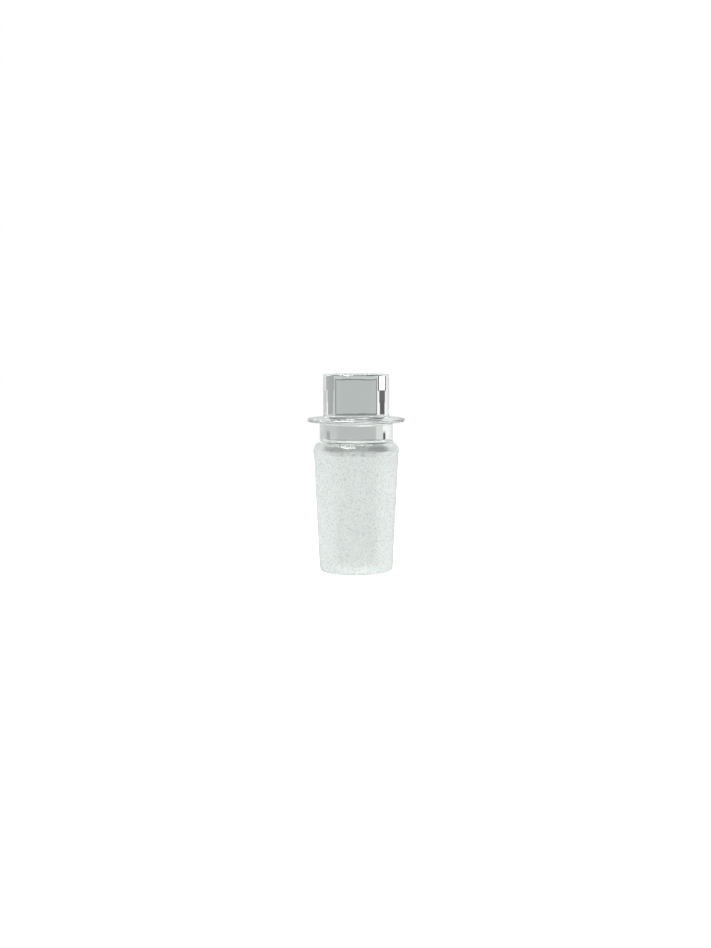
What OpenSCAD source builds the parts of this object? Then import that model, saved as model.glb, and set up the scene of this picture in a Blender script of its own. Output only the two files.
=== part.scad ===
// Ground-glass stopper: a tapered ground cone below, a solid round head above, and a disc collar between,
// all solid borosilicate glass. Its blanks, and the zones pressed, ground or fire-polished on them, are
// separate solids that meet face to face where the real glass is one.
// Millimetres, +Z up, origin at the centre of the face that the stopper stands on.

/* [Ground cone] */
// Diameter of the cone at its wide end
cone_wide_d = 18.8; // [15:0.1:30]
// Length of the cone from the standing face to its wide end
cone_length = 26; // [15:0.5:40]
// Length over which the cone's diameter grows by 1 mm
taper_run = 10; // [8:1:20]

/* [Foot of the cone] */
// Height of the foot, which holds the rounded lower edge
foot_height = 1.2; // [1:0.1:3]
// Radius of the foot's edge
foot_round = 1.1; // [0.3:0.1:2]

/* [Shoulder] */
// Height of the clear land above the ground zone
shoulder_land = 0.35; // [0.1:0.05:4]
// Radius of the shoulder's round
shoulder_round = 2.4; // [1.4:0.1:3]
// Radius between the shoulder and the neck
shoulder_fillet = 0.4; // [0.3:0.1:1]

/* [Neck] */
// Diameter of the neck
neck_d = 16; // [12:0.1:20]
// Straight length of the neck
neck_length = 3.6; // [2:0.1:12]

/* [Collar] */
// Diameter of the collar
collar_d = 21.4; // [18.4:0.1:34]
// Thickness of the collar
collar_thickness = 0.75; // [0.6:0.05:2]
// Radius of the glass run under the collar
lower_run = 0.6; // [0.3:0.1:1]
// Radius of the glass run on top of the collar
upper_run = 0.4; // [0.3:0.1:1]

/* [Head] */
// Diameter of the head
head_d = 14.4; // [10:0.1:17.8]
// Straight length of the head
head_length = 8.9; // [4:0.1:30]
// Radius of the head's top edge
head_round = 0.3; // [0.1:0.05:2]

/* [Hidden] */
$fn = 96;
arc_step = 7.5; // degrees between the points of an arc

neck_r = neck_d / 2;
collar_r = collar_d / 2;
head_r = head_d / 2;
foot_edge = min(foot_round, foot_height * 0.95);

// The glass that ran into the collar's corners stays within the collar
collar_edge = collar_thickness / 2;
under_run = min(lower_run, (collar_r - collar_edge - neck_r) * 0.9);
over_run = min(upper_run, (collar_r - collar_edge - head_r) * 0.9);

cone_slope = 1 / (2 * taper_run); // growth of the cone's radius with height
cone_stretch = sqrt(1 + pow(cone_slope, 2)); // length along the cone's surface for each mm of height

cone_z = cone_length;
land_z = cone_z + shoulder_land;
shoulder_z = land_z + s_rise(cone_r(cone_z), shoulder_round, neck_r, shoulder_fillet);
neck_z = shoulder_z + neck_length;
collar_bottom = neck_z + under_run;
collar_top = collar_bottom + collar_thickness;
collar_z = collar_top + over_run;
head_z = collar_z + head_length;
top_z = head_z + head_round;

// Radius of the cone at height z
function cone_r(z) = cone_wide_d / 2 + (z - cone_length) * cone_slope;

// Points on a circle about c from angle a to angle b
function arc(c, r, a, b) =
    let (steps = max(2, ceil(abs(b - a) / arc_step)))
    [for (i = [0 : steps]) let (t = a + (b - a) * i / steps) c + r * [cos(t), sin(t)]];

// Distance across between the two centres of an S-shaped step. A wide step has a level stretch instead.
function s_run(wide, big, narrow, small) = max(0, big + small - abs(wide - narrow));

// Height of the S-shaped step from radius wide, rounded by big, to radius narrow, filleted by small
function s_rise(wide, big, narrow, small) =
    sqrt(pow(big + small, 2) - pow(s_run(wide, big, narrow, small), 2));

// Points of that step from bottom to top, starting at height z, whichever of the two zones is the wider
function s_step(wide, z, big, narrow, small) =
    let (
        rise = s_rise(wide, big, narrow, small),
        turn = atan2(rise, s_run(wide, big, narrow, small))
    )
    wide == narrow ? [[wide, z]] :
    wide > narrow ? concat(
        arc([wide - big, z], big, 0, turn),
        arc([narrow + small, z + rise], small, 180 + turn, 180)
    ) : concat(
        arc([wide + big, z], big, 180, 180 - turn),
        arc([narrow - small, z + rise], small, -turn, 0)
    );

// Colour of the clear, fire-polished glass
module clear_glass() color("azure", 0.4) children();

// Colour of the glass that is ground matt outside
module ground_glass() color("gainsboro", 0.8) children();

// A solid round zone from its outline of [radius, height] points, given from bottom to top
module turned(outline)
    rotate_extrude() polygon(concat(
        [[0, outline[0][1]]],
        outline,
        [[0, outline[len(outline) - 1][1]]]
    ));

// Rounded lower end that the stopper stands on, ground with the cone
module cone_foot() {
    lean = atan(cone_slope);
    edge_c = [cone_r(foot_edge) - foot_edge * cone_stretch, foot_edge];
    ground_glass() turned(concat(
        arc(edge_c, foot_edge, -90, -lean),
        [[cone_r(foot_height), foot_height]]
    ));
}

// Tapered barrel, ground matt to seat in a ground socket
module ground_cone()
    ground_glass() turned([[cone_r(foot_height), foot_height], [cone_r(cone_z), cone_z]]);

// Clear shoulder that draws the cone in to the neck
module cone_shoulder()
    clear_glass() turned(concat(
        [[cone_r(cone_z), cone_z]],
        s_step(cone_r(cone_z), land_z, shoulder_round, neck_r, shoulder_fillet)
    ));

// Straight neck between the shoulder and the collar
module neck() clear_glass() turned([[neck_r, shoulder_z], [neck_r, neck_z]]);

// Disc round the stopper, with the glass that ran into both of its corners
module collar_disc()
    clear_glass() turned(concat(
        arc([neck_r + under_run, neck_z], under_run, 180, 90),
        arc([collar_r - collar_edge, collar_bottom + collar_edge], collar_edge, -90, 90),
        arc([head_r + over_run, collar_z], over_run, 270, 180)
    ));

// Straight part of the head, by which the stopper is turned and pulled
module head() clear_glass() turned([[head_r, collar_z], [head_r, head_z]]);

// Fire-polished top of the head, flat with a rounded edge
module head_top()
    clear_glass() turned(arc([head_r - head_round, head_z], head_round, 0, 90));

cone_foot();
ground_cone();
cone_shoulder();
neck();
collar_disc();
head();
head_top();
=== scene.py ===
"""A solid borosilicate stopper with a ground cone, a collar and a round head, standing on a pale floor.

The glass is one body. Each of its zones is a closed solid turned from its own outline, and the faces where two
zones meet carry a finish that light passes straight through, so the zones read as one piece of glass.
"""

import math

import bmesh
import bpy
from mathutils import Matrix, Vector


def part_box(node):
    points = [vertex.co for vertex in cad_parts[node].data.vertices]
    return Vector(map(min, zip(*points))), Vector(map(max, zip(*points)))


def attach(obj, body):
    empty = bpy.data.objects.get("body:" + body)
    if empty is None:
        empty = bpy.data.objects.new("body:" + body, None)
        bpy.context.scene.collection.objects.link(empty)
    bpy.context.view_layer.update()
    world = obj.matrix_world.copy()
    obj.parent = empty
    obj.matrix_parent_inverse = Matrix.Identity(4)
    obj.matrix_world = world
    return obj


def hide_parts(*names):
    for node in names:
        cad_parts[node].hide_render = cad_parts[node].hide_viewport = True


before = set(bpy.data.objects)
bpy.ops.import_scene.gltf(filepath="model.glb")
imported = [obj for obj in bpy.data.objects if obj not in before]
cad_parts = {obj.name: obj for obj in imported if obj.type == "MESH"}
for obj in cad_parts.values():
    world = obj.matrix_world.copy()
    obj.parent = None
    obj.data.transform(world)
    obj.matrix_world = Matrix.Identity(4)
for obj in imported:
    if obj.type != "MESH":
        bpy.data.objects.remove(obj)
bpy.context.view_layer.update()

MM = 0.001


# ---------------------------------------------------------------- helpers


def srgb(hex_colour):
    """Turns an sRGB hex colour into linear red, green, blue and alpha."""
    channels = [int(hex_colour[i : i + 2], 16) / 255 for i in (1, 3, 5)]
    return (*(c / 12.92 if c <= 0.04045 else ((c + 0.055) / 1.055) ** 2.4 for c in channels), 1.0)


def grey(value):
    """A near-neutral colour of one brightness, faintly green as thick glass makes it, and over 1 for a lamp."""
    return (value * 0.96, value, value * 0.98, 1.0)


def add_node(tree, kind, settings=None, inputs=None):
    """Adds a node, applies its settings, and sets or links each of its inputs."""
    node = tree.nodes.new(kind)
    for name, value in (settings or {}).items():
        setattr(node, name, value)
    for name, value in (inputs or {}).items():
        if isinstance(value, bpy.types.NodeSocket):
            tree.links.new(value, node.inputs[name])
        else:
            node.inputs[name].default_value = value
    return node


def add_math(tree, operation, *values):
    """Adds a math node, sets or links its values in order, and gives its result."""
    return add_node(tree, "ShaderNodeMath", {"operation": operation}, dict(enumerate(values))).outputs[0]


MIX_A, MIX_B, MIX_RESULT = 6, 7, 2  # places of the two colours and of the result on a colour mix node


def add_mix(tree, factor, under, over):
    """Adds a mix node that shows the colour under where factor is 0 and the colour over where it is 1."""
    mix = add_node(
        tree, "ShaderNodeMix", {"data_type": "RGBA"}, {"Factor": factor, MIX_A: under, MIX_B: over}
    )
    return mix.outputs[MIX_RESULT]


# ---------------------------------------------------------------- camera

CAMERA_LENS = 50
CAMERA_PITCH = math.radians(5.9)  # below the horizon
CAMERA_PLACE = Vector((-0.15, -288.5, 51.2)) * MM
SENSOR_WIDTH = 36

camera = bpy.data.objects.new("camera", bpy.data.cameras.new("camera"))
camera.data.lens = CAMERA_LENS
camera.data.sensor_width = SENSOR_WIDTH
camera.data.clip_start = 0.01
camera.location = CAMERA_PLACE
camera.rotation_euler = (math.pi / 2 - CAMERA_PITCH, 0, 0)
bpy.context.scene.collection.objects.link(camera)
bpy.context.scene.camera = camera

# ---------------------------------------------------------------- studio

world = bpy.data.worlds.new("studio")
bpy.context.scene.world = world
world.use_nodes = True
tree = world.node_tree
tree.nodes.clear()

way = add_node(tree, "ShaderNodeTexCoord").outputs["Generated"]
way_parts = add_node(tree, "ShaderNodeSeparateXYZ", None, {0: way}).outputs
azimuth = add_math(tree, "ARCTAN2", way_parts["X"], way_parts["Y"])
elevation = add_math(tree, "ARCSINE", way_parts["Z"])
tilt_right = add_math(tree, "ARCTAN2", way_parts["X"], way_parts["Z"])
tilt_back = add_math(tree, "ARCTAN2", way_parts["Y"], way_parts["Z"])


def band(angle, low, high, soft):
    """1 where an angle lies between low and high, fading over soft at both ends. All in degrees."""
    middle = math.radians((low + high) / 2)
    half = math.radians((high - low) / 2)
    edge = math.radians(soft) / 2
    offset = add_math(tree, "SUBTRACT", angle, middle)
    turned_in = add_math(tree, "WRAP", offset, math.pi, -math.pi)
    distance = add_math(tree, "ABSOLUTE", turned_in)
    return add_node(
        tree,
        "ShaderNodeMapRange",
        {"interpolation_type": "SMOOTHSTEP"},
        {"Value": distance, "From Min": half + edge, "From Max": half - edge, "To Min": 0.0, "To Max": 1.0},
    ).outputs[0]


def hang_card(under, colour, az, el, soft, angles=(azimuth, elevation)):
    """Lays a flat card of one colour over the studio, between two azimuths and two elevations in degrees.

    Its edges fade over soft, which gives one width for its sides and one for its ends. A card overhead is given by
    its two tilts from straight up instead.
    """
    across = band(angles[0], az[0], az[1], soft[0])
    up = band(angles[1], el[0], el[1], soft[1])
    return add_mix(tree, add_math(tree, "MULTIPLY", across, up), under, colour)


# Each card: its colour, its azimuths, its elevations and the softness of its edges. Azimuth 0 is straight behind the
# object, seen from the camera, and azimuths grow to the right. The solid glass swaps left and right.
CARDS = [
    (grey(0.62), (125, 235), (-8, 20), (20, 8)),  # the dim room in front
    (grey(0.66), (50, 80), (-5, 30), (2, 2)),  # wall on the right
    (grey(0.74), (-50, 50), (-0.6, 25), (4, 0.4)),  # wall behind
    (grey(0.95), (-200, 200), (-100, -8.5), (2, 1)),  # the table
    (grey(0.34), (-44, 44), (-64, -9), (8, 1.5)),  # the table close by, in the stopper's own shade
    (grey(0.2), (-24, 24), (-32, -12.5), (6, 2)),
    (grey(0.1), (10, 38), (-30, -9.8), (2, 1)),  # shade of the right lamp on the table
    (grey(1.1), (-40, -19), (-10, -6.6), (2, 1)),  # light of the left lamp on the table
    (grey(0.0), (-38, -11), (-36, -10), (2, 1)),  # shade beside it
    (grey(0.58), (-22.5, 22.5), (-9, -6.4), (3, 0.4)),  # shade of the board on the table
    (grey(0.51), (-22.5, 22.5), (-6.5, -3.2), (2, 0.2)),
    (grey(0.56), (22, 60), (-5, -3.35), (2, 0.1)),
    (grey(0.6), (26, 32), (-3.4, -0.4), (0.5, 0.1)),
    (grey(0.72), (-33.5, -22.5), (-5, -3.35), (1, 0.1)),
    (srgb("#808582"), (-27.2, 27.2), (-3.4, -1.765), (0.3, 0.03)),  # edge of the grey board
    (srgb("#B7BCBA"), (-25.4, 25.4), (-3.29, -1.825), (0.3, 0.03)),
    (grey(0.6), (-28, 28), (-1.765, -0.4), (0.3, 0.03)),
    (grey(0.02), (-52.3, -28.5), (-2.28, -0.4), (0.5, 0.06)),  # frame of the left lamp, in shade
    (grey(1.4), (-47.8, -31), (-2.26, -0.4), (0.5, 0.06)),  # its lit face
    (grey(0.08), (-48, -31.2), (-2.8, -2.26), (0.8, 0.06)),  # its rim
    (grey(0.05), (-46.6, -32.6), (-3.35, -2.75), (0.8, 0.1)),
    (grey(0.03), (-39.6, -34), (-6.4, -4.05), (0.4, 0.2)),  # its stand
    (grey(0.37), (29, 52.3), (-2.28, -0.4), (0.5, 0.06)),  # the right lamp
    (grey(0.37), (31, 48), (-2.8, -2.24), (0.8, 0.06)),
    (grey(0.37), (31.6, 46.4), (-3.35, -2.75), (0.8, 0.1)),
    (grey(0.36), (32.5, 41), (-6.4, -4.05), (0.4, 0.2)),  # its stand
    (grey(18.0), (-25, -2), (-28, 36), (2, 2), (tilt_right, tilt_back)),  # lamp overhead, a little to the left
]
WHITE = (1.0, 1.0, 1.0, 1.0)
studio = add_node(tree, "ShaderNodeRGB").outputs[0]
studio.default_value = WHITE
for card in CARDS:
    studio = hang_card(studio, *card)

seen = add_node(tree, "ShaderNodeLightPath").outputs["Is Camera Ray"]
backdrop = add_mix(tree, seen, studio, WHITE)  # the camera itself sees a plain white backdrop
shine = add_node(tree, "ShaderNodeBackground", None, {"Color": backdrop})
add_node(tree, "ShaderNodeOutputWorld", None, {"Surface": shine.outputs[0]})

bpy.context.scene.view_settings.view_transform = "Standard"
bpy.context.scene.cycles.max_bounces = 32
bpy.context.scene.cycles.transmission_bounces = 32
bpy.context.scene.cycles.glossy_bounces = 16
bpy.context.scene.cycles.diffuse_bounces = 16

# ---------------------------------------------------------------- glass

BOROSILICATE_IOR = 1.474
PIT_SIZE = 0.36 * MM
PIT_DEPTH = 0.1 * MM
MATT_SHARE = 0.35  # of the ground skin, the rest of which is glass
POWDER_SHARE = 0.6  # of that matt share, the rest of which glows with light from inside


def new_material(name):
    material = bpy.data.materials.new(name)
    material.use_nodes = True
    material.node_tree.nodes.clear()
    return material, material.node_tree


def fire_polished_borosilicate():
    """Drawn and flame-worked glass: clear and smooth, with a faint slow waviness from the flame."""
    material, tree = new_material("borosilicate_fire_polished")
    place = add_node(tree, "ShaderNodeTexCoord").outputs["Object"]
    wave = add_node(tree, "ShaderNodeTexNoise", None, {"Vector": place, "Scale": 450, "Detail": 1.0})
    bump = add_node(
        tree, "ShaderNodeBump", None, {"Strength": 0.012, "Distance": 0.2 * MM, "Height": wave.outputs["Fac"]}
    )
    glass = add_node(
        tree,
        "ShaderNodeBsdfPrincipled",
        None,
        {
            "Base Color": srgb("#FAFCFB"),
            "Roughness": 0.0,
            "IOR": BOROSILICATE_IOR,
            "Transmission Weight": 1.0,
            "Normal": bump.outputs["Normal"],
        },
    )
    add_node(tree, "ShaderNodeOutputMaterial", None, {"Surface": glass.outputs[0]})
    return material


def ground_borosilicate():
    """Glass ground with fine grit: a white matt skin, lit through and bumped with grain, speckled by a painted shade in
    its pits and a painted glint on its raised facets.

    Real pits are about 0.05 mm across. They are drawn 0.36 mm across, so that they show.
    """
    material, tree = new_material("borosilicate_ground")
    place = add_node(tree, "ShaderNodeTexCoord").outputs["Object"]
    pits = add_node(tree, "ShaderNodeTexNoise", None, {"Vector": place, "Scale": 1 / PIT_SIZE, "Detail": 3.0})
    # The grain paints the skin's tint too: darker in its low pits, a painted shade, and whitest on its raised facets, a
    # painted glint.
    grain_shade_and_glint = add_node(tree, "ShaderNodeValToRGB", None, {"Fac": pits.outputs["Fac"]})
    stops = [(0.36, "#D0D8D6"), (0.49, "#F9FDFB"), (0.6, "#FFFFFF")]
    while len(grain_shade_and_glint.color_ramp.elements) < len(stops):
        grain_shade_and_glint.color_ramp.elements.new(0.5)
    for element, (position, colour) in zip(grain_shade_and_glint.color_ramp.elements, stops):
        element.position = position
        element.color = srgb(colour)
    bump = add_node(
        tree, "ShaderNodeBump", None, {"Strength": 0.8, "Distance": PIT_DEPTH, "Height": pits.outputs["Fac"]}
    )
    glass = add_node(
        tree,
        "ShaderNodeBsdfPrincipled",
        None,
        {
            "Base Color": srgb("#FDFFFE"),
            "Roughness": 0.12,
            "IOR": BOROSILICATE_IOR,
            "Transmission Weight": 1.0,
            "Normal": bump.outputs["Normal"],
        },
    )
    lit = {"Color": grain_shade_and_glint.outputs["Color"], "Normal": bump.outputs["Normal"]}
    glow = add_node(tree, "ShaderNodeBsdfTranslucent", None, lit)
    powder = add_node(tree, "ShaderNodeBsdfDiffuse", None, lit)
    matt = add_node(tree, "ShaderNodeMixShader", None, {0: POWDER_SHARE, 1: glow.outputs[0], 2: powder.outputs[0]})
    skin = add_node(tree, "ShaderNodeMixShader", None, {0: MATT_SHARE, 1: glass.outputs[0], 2: matt.outputs[0]})
    add_node(tree, "ShaderNodeOutputMaterial", None, {"Surface": skin.outputs[0]})
    return material


def fused_borosilicate():
    """The inside of a fused seam, where no surface is left: light passes straight through."""
    material, tree = new_material("borosilicate_fused_seam")
    glass = add_node(
        tree,
        "ShaderNodeBsdfPrincipled",
        None,
        {"Base Color": WHITE, "Roughness": 0.0, "IOR": 1.0, "Transmission Weight": 1.0},
    )
    add_node(tree, "ShaderNodeOutputMaterial", None, {"Surface": glass.outputs[0]})
    return material


polished = fire_polished_borosilicate()
ground = ground_borosilicate()
seam = fused_borosilicate()

# ---------------------------------------------------------------- sizes

NECK_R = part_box("neck")[1][0]
HEAD_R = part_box("head")[1][0]
COLLAR_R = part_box("collar_disc")[1][0]
FOOT_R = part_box("cone_foot")[1][0]
CONE_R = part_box("ground_cone")[1][0]

FOOT_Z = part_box("cone_foot")[1][2]
CONE_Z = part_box("ground_cone")[1][2]
SHOULDER_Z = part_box("cone_shoulder")[1][2]
NECK_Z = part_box("neck")[1][2]
COLLAR_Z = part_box("collar_disc")[1][2]
HEAD_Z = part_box("head")[1][2]
TOP_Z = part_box("head_top")[1][2]

CONE_SLOPE = (CONE_R - FOOT_R) / (CONE_Z - FOOT_Z)
CONE_STRETCH = math.hypot(1, CONE_SLOPE)
FOOT_ROUND = 1.1 * MM
SHOULDER_LAND = 0.35 * MM
SHOULDER_ROUND = 2.4 * MM
SHOULDER_FILLET = 0.4 * MM
LOWER_RUN = 0.6 * MM
UPPER_RUN = 0.4 * MM
HEAD_ROUND = TOP_Z - HEAD_Z
SEAM_GAP = 0.002 * MM  # keeps the two faces of a fused seam apart, so that light meets each of them once

TURN_STEPS = 256
ARC_STEP = 3  # degrees
SHARP_ANGLE = 30  # degrees
SAME_PLACE = 0.0001 * MM
SEAM_REACH = 0.001 * MM


def cone_r(z):
    return CONE_R + (z - CONE_Z) * CONE_SLOPE


def arc(centre, radius, start, end):
    """Points on an arc about centre, from one angle in degrees to another."""
    steps = max(2, math.ceil(abs(end - start) / ARC_STEP))
    turns = [math.radians(start + (end - start) * i / steps) for i in range(steps + 1)]
    return [(centre[0] + radius * math.cos(t), centre[1] + radius * math.sin(t)) for t in turns]


def s_step(wide, z, big, narrow, small):
    """The S-shaped step from a wide wall, rounded by big, in to a narrow wall, filleted by small."""
    run = narrow + small - wide + big
    rise = math.sqrt((big + small) ** 2 - run**2)
    turn = math.degrees(math.atan2(rise, run))
    return arc((wide - big, z), big, 0, turn) + arc((narrow + small, z + rise), small, 180 + turn, 180)


def turned(name, outline, outer_skin=None):
    """Turns an outline into a solid zone of glass, and gives its skin and its inner seams their materials."""
    mesh = bmesh.new()
    points = [(0, outline[0][1]), *outline, (0, outline[-1][1])]
    verts = [mesh.verts.new((r, 0, z)) for r, z in points]
    edges = [mesh.edges.new((verts[i], verts[i + 1])) for i in range(len(verts) - 1)]
    bmesh.ops.spin(
        mesh,
        geom=verts + edges,
        cent=(0, 0, 0),
        axis=(0, 0, 1),
        angle=math.tau,
        steps=TURN_STEPS,
        use_merge=True,
        use_duplicate=False,
    )
    bmesh.ops.remove_doubles(mesh, verts=mesh.verts[:], dist=SAME_PLACE)
    bmesh.ops.recalc_face_normals(mesh, faces=mesh.faces[:])
    seam_heights = (FOOT_Z, CONE_Z, SHOULDER_Z, NECK_Z, COLLAR_Z, HEAD_Z)
    seam_verts = {-1: set(), 1: set()}
    for face in mesh.faces:
        face.smooth = True
        middle = face.calc_center_median()
        level = all(abs(v.co.z - middle.z) < SAME_PLACE for v in face.verts)
        if level and any(abs(middle.z - z) < SEAM_REACH for z in seam_heights):
            face.material_index = 1
            seam_verts[round(face.normal.z)].update(face.verts)
        elif outer_skin:
            face.material_index = 2
    for edge in mesh.edges:
        if edge.calc_face_angle(0) > math.radians(SHARP_ANGLE):
            edge.smooth = False
    for side, verts in seam_verts.items():
        bmesh.ops.translate(mesh, verts=list(verts), vec=(0, 0, -side * SEAM_GAP / 2))
    data = bpy.data.meshes.new(name)
    mesh.to_mesh(data)
    mesh.free()
    data.materials.append(polished)
    data.materials.append(seam)
    if outer_skin:
        data.materials.append(outer_skin)
    piece = bpy.data.objects.new(name, data)
    bpy.context.scene.collection.objects.link(piece)
    weighted = piece.modifiers.new("even_shading", "WEIGHTED_NORMAL")
    weighted.keep_sharp = True
    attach(piece, "root")
    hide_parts(name.removesuffix("_glass"))
    return piece


lean = math.degrees(math.atan(CONE_SLOPE))
foot_centre = (cone_r(FOOT_ROUND) - FOOT_ROUND * CONE_STRETCH, FOOT_ROUND)
foot_edge = arc(foot_centre, FOOT_ROUND, -90, -lean)
turned("cone_foot_glass", foot_edge + [(FOOT_R, FOOT_Z)], ground)
turned("ground_cone_glass", [(FOOT_R, FOOT_Z), (CONE_R, CONE_Z)], ground)
shoulder = s_step(CONE_R, CONE_Z + SHOULDER_LAND, SHOULDER_ROUND, NECK_R, SHOULDER_FILLET)
turned("cone_shoulder_glass", [(CONE_R, CONE_Z)] + shoulder)
turned("neck_glass", [(NECK_R, SHOULDER_Z), (NECK_R, NECK_Z)])
collar_bottom = NECK_Z + LOWER_RUN
collar_top = COLLAR_Z - UPPER_RUN
edge_r = (collar_top - collar_bottom) / 2
turned(
    "collar_disc_glass",
    arc((NECK_R + LOWER_RUN, NECK_Z), LOWER_RUN, 180, 90)
    + arc((COLLAR_R - edge_r, collar_bottom + edge_r), edge_r, -90, 90)
    + arc((HEAD_R + UPPER_RUN, COLLAR_Z), UPPER_RUN, 270, 180),
)
turned("head_glass", [(HEAD_R, COLLAR_Z), (HEAD_R, HEAD_Z)])
turned("head_top_glass", arc((HEAD_R - HEAD_ROUND, HEAD_Z), HEAD_ROUND, 0, 90))

# ---------------------------------------------------------------- floor

FLOOR_R = 300 * MM
FLOOR_DROP = 0.02 * MM  # keeps the floor clear of the standing face
floor_mesh = bmesh.new()
bmesh.ops.create_circle(floor_mesh, cap_ends=True, segments=128, radius=FLOOR_R)
floor_data = bpy.data.meshes.new("floor")
floor_mesh.to_mesh(floor_data)
floor_mesh.free()
floor = bpy.data.objects.new("floor", floor_data)
floor.location.z = -FLOOR_DROP
bpy.context.scene.collection.objects.link(floor)
material, tree = new_material("white_card")
paper = add_node(
    tree, "ShaderNodeBsdfPrincipled", None, {"Base Color": srgb("#F6F6F6"), "Roughness": 0.8, "Specular IOR Level": 0.2}
)
lift = add_node(tree, "ShaderNodeEmission", None, {"Color": WHITE, "Strength": 0.2})
both = add_node(tree, "ShaderNodeAddShader", None, {0: paper.outputs[0], 1: lift.outputs[0]})
clear = add_node(tree, "ShaderNodeBsdfTransparent")  # the glass sees the studio's table in its place
direct = add_node(tree, "ShaderNodeLightPath").outputs["Is Camera Ray"]
sight = add_node(tree, "ShaderNodeMixShader", None, {0: direct, 1: clear.outputs[0], 2: both.outputs[0]})
add_node(tree, "ShaderNodeOutputMaterial", None, {"Surface": sight.outputs[0]})
floor_data.materials.append(material)
